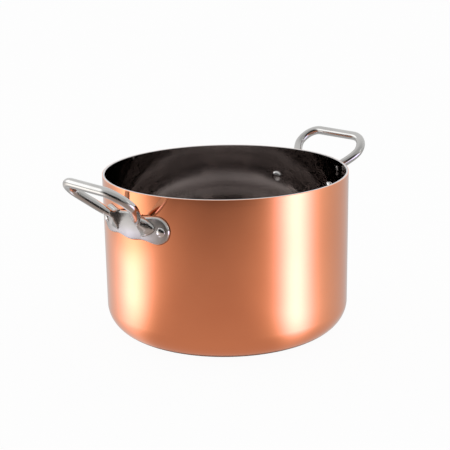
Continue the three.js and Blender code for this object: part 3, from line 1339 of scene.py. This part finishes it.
@dataclass(frozen=True)
class GroundCard:
    """A dim card on the floor: warm and darker towards the camera, pale at the sides and behind."""

    radius: float = 6.0
    lift: float = 0.2 * MM
    side_level: float = 0.58
    near_level: float = 0.55
    far_level: float = 0.12
    fall: Span = (0.05, 1.10)
    dark: Span = (0.66, 0.82)
    dark_share: float = 0.08
    front_turn: Span = (32.0, 92.0)
    turn: float = -10.0
    warm: Colour = (1.0, 0.80, 0.72)

    def build(self, front: Vector) -> None:
        """Lay the card.

        Args:
            front: The way from the pot to the camera, along the floor.
        """
        Bench.clear()
        bpy.ops.mesh.primitive_circle_add(vertices=CARD_SIDES, radius=self.radius, fill_type="NGON")
        piece = bpy.context.object
        piece.name = "ground_card"
        turn = math.atan2(front.y, front.x) + math.radians(self.turn)
        piece.matrix_world = Matrix.Translation((0, 0, self.lift)) @ Matrix.Rotation(turn, 4, "Z")
        sheet = FinishSheet("ground_card")
        ahead, across, _ = sheet.place()
        angle = sheet.math("ABSOLUTE", sheet.math("ARCTAN2", across, ahead))
        aside = sheet.remap(angle, *(math.radians(limit) for limit in self.front_turn), 0.0, 1.0)
        distance = sheet.radius()
        level = sheet.remap(distance, *self.fall, self.near_level, self.far_level)
        level = sheet.math("MULTIPLY", level, sheet.remap(distance, *self.dark, 1.0, self.dark_share))
        level = sheet.math("MULTIPLY", level, sheet.math("SUBTRACT", 1.0, aside))
        level = sheet.math("ADD", level, sheet.math("MULTIPLY", aside, self.side_level))
        sheet.glow(sheet.mix(aside, self.warm, (1.0, 1.0, 1.0)), level, 1.0)
        hide_card(piece, sheet.material, False)


@dataclass(frozen=True)
class ContactShadowCard:
    """A dark card under the pot's rounded corner: a painted contact shadow, which the metal mirrors and the
    camera doesn't see.
    """

    edge: Span = (103 * MM, 110 * MM)
    lift: float = 0.5 * MM
    level: float = 0.03
    tint: Colour = (1.0, 0.6, 0.4)

    def build(self) -> None:
        """Lay the painted shadow under the pot."""
        Bench.clear()
        bpy.ops.mesh.primitive_circle_add(vertices=CARD_SIDES, radius=self.edge[1], fill_type="NGON")
        piece = bpy.context.object
        piece.name = "contact_shadow_card"
        piece.matrix_world = Matrix.Translation((0, 0, self.lift))
        sheet = FinishSheet("contact_shadow_card")
        # Painted contact shadow: dark over the middle, fading out towards the edge
        cover = sheet.remap(sheet.radius(), *self.edge, 1.0, 0.0)
        sheet.glow((*self.tint, 1.0), self.level, cover)
        hide_card(piece, sheet.material, False)


@dataclass
class Studio:
    """The plain pale floor, the soft lights and the camera."""

    # Camera
    eye: Point3 = (-0.719659, -0.758519, 0.395556)
    yaw: float = 43.4303
    pitch: float = -15.8318
    roll: float = -0.8975
    lens: float = 87.670
    sensor: float = 36.0
    bounces: int = 10
    # Floor
    floor_size: float = 16.0
    floor_tone: Colour = (0.8, 0.8, 0.8)
    floor_rough: float = 0.9
    floor_white: float = 0.96
    # Room
    room_back: float = 0.9
    room_front: float = 0.62
    room_low: float = 0.3
    room_top: float = 0.6
    front_span: Span = (-0.25, 0.45)
    low_span: Span = (0.0, 0.4)
    top_span: Span = (0.72, 0.95)
    dark_turn: float = -30.0
    dark_share: float = 0.94
    dark_span: Span = (0.5, 0.8)
    dark_height: Span = (0.30, 0.60)
    # Panels and fans of light
    boxes: tuple[SoftBox, ...] = (
        SoftBox(
            "left_box", centre=(-0.62, 1.0, 0.60), aim=(-0.14, 0.0, 0.14),
            width=1.1, height=0.9, strength=1.9,
        ),
        SoftBox(
            "right_box", centre=(0.50, -1.15, 0.50), aim=(0.0, 0.0, 0.14),
            width=0.6, height=0.75, strength=1.3,
        ),
    )
    fans: tuple[FloorFan, ...] = (
        FloorFan(
            "left_fan", apex=(-0.087, -0.026), aim=(-0.753, 0.719), lift=0.3 * MM, strength=3.1, spread=19.0,
            near=(0.0, 0.21), far=(0.26, 0.44), far_level=0.55,
        ),
        FloorFan(
            "right_fan", apex=(-0.046, -0.070), aim=(0.351, -0.988), lift=0.4 * MM, strength=3.4, spread=16.5,
            near=(0.03, 0.17), far=(0.6, 1.2), far_level=0.45, core=(0.98, 0.88, 1.28),
        ),
    )

    def floor(self) -> None:
        """Lay a pale floor that is white to the camera and in mirrors."""
        Bench.clear()
        bpy.ops.mesh.primitive_plane_add(size=self.floor_size)
        piece = bpy.context.object
        piece.name = "floor"
        sheet = FinishSheet("pale_floor")
        sheet.shader.inputs["Base Color"].default_value = (*self.floor_tone, 1.0)
        sheet.shader.inputs["Roughness"].default_value = self.floor_rough
        sheet.shader.inputs["Specular IOR Level"].default_value = 0.0
        rays = sheet.node("ShaderNodeLightPath").outputs
        seen = sheet.math("ADD", rays["Is Camera Ray"], rays["Is Glossy Ray"])
        seen = sheet.math("ADD", seen, rays["Is Transmission Ray"], clamp=True)
        glow = sheet.node("ShaderNodeEmission").outputs[0]
        sheet.show(sheet.shader.outputs[0], glow, sheet.math("MULTIPLY", seen, self.floor_white))
        piece.data.materials.append(sheet.material)

    def front(self) -> Vector:
        """Give the way from the pot to the camera, along the floor."""
        return Vector((self.eye[0], self.eye[1], 0)).normalized()

    def world(self) -> None:
        """Light the room.

        It is bright behind the pot, dim before it, dark along the front floor and white to the camera.
        """
        world = bpy.data.worlds.new("room")
        world.use_nodes = True
        sheet = NodeSheet(world.node_tree, "Generated")
        height = sheet.place()[2]
        ahead = sheet.remap(sheet.towards(self.front()), *self.front_span, 0.0, 1.0)
        low = sheet.remap(height, *self.low_span, self.room_low, self.room_front)
        front = sheet.math("MULTIPLY", ahead, low)
        back = sheet.math("MULTIPLY", sheet.math("SUBTRACT", 1.0, ahead), self.room_back)
        aside = sheet.towards(Matrix.Rotation(math.radians(self.dark_turn), 3, "Z") @ self.front())
        dark = sheet.remap(aside, *self.dark_span, 0.0, self.dark_share)
        dark = sheet.math("MULTIPLY", dark, sheet.remap(height, *self.dark_height, 1.0, 0.0))
        level = sheet.math("MULTIPLY", sheet.math("ADD", front, back), sheet.math("SUBTRACT", 1.0, dark))
        level = sheet.math("MAXIMUM", level, sheet.remap(height, *self.top_span, 0.0, self.room_top))
        seen = sheet.node("ShaderNodeLightPath").outputs["Is Camera Ray"]
        background = sheet.tree.nodes["Background"]
        sheet.feed(background.inputs["Strength"], sheet.math("MAXIMUM", level, seen))
        background.inputs["Color"].default_value = (1.0, 1.0, 1.0, 1.0)
        bpy.context.scene.world = world

    def camera(self) -> None:
        """Set the camera at the photograph's viewing angle."""
        yaw, pitch, roll = (math.radians(angle) for angle in (self.yaw, self.pitch, self.roll))
        ahead = Vector((math.sin(yaw) * math.cos(pitch), math.cos(yaw) * math.cos(pitch), math.sin(pitch)))
        right = Vector((math.cos(yaw), -math.sin(yaw), 0))
        up = right.cross(ahead)
        across = right * math.cos(roll) + up * math.sin(roll)
        upward = up * math.cos(roll) - right * math.sin(roll)
        Bench.clear()
        bpy.ops.object.camera_add()
        camera = bpy.context.object
        camera.data.sensor_width = self.sensor
        camera.data.lens = self.lens
        turn = Matrix((across, upward, -ahead)).transposed().to_4x4()
        camera.matrix_world = Matrix.Translation(self.eye) @ turn
        bpy.context.scene.camera = camera

    def build(self) -> None:
        """Set up the stage."""
        bpy.context.scene.view_settings.view_transform = "Standard"
        bpy.context.scene.cycles.glossy_bounces = self.bounces
        self.camera()
        self.world()
        self.floor()
        GroundCard().build(self.front())
        # The painted contact shadow under the pot's corner
        ContactShadowCard().build()
        for card in (*self.boxes, *self.fans):
            card.build()
            LOG.info("studio has %s", card.name)


def main() -> None:
    """Build the stockpot, dress it and set up the studio."""
    logging.basicConfig(level=logging.INFO)
    wall = PotWall()
    handle = LoopHandle(wall_radius=wall.radius, pot_height=wall.height)
    wall.build()
    handle.build()
    Rivet(wall, handle).build()
    Studio().build()
    Bench.clear()


if __name__ == "__main__":
    main()
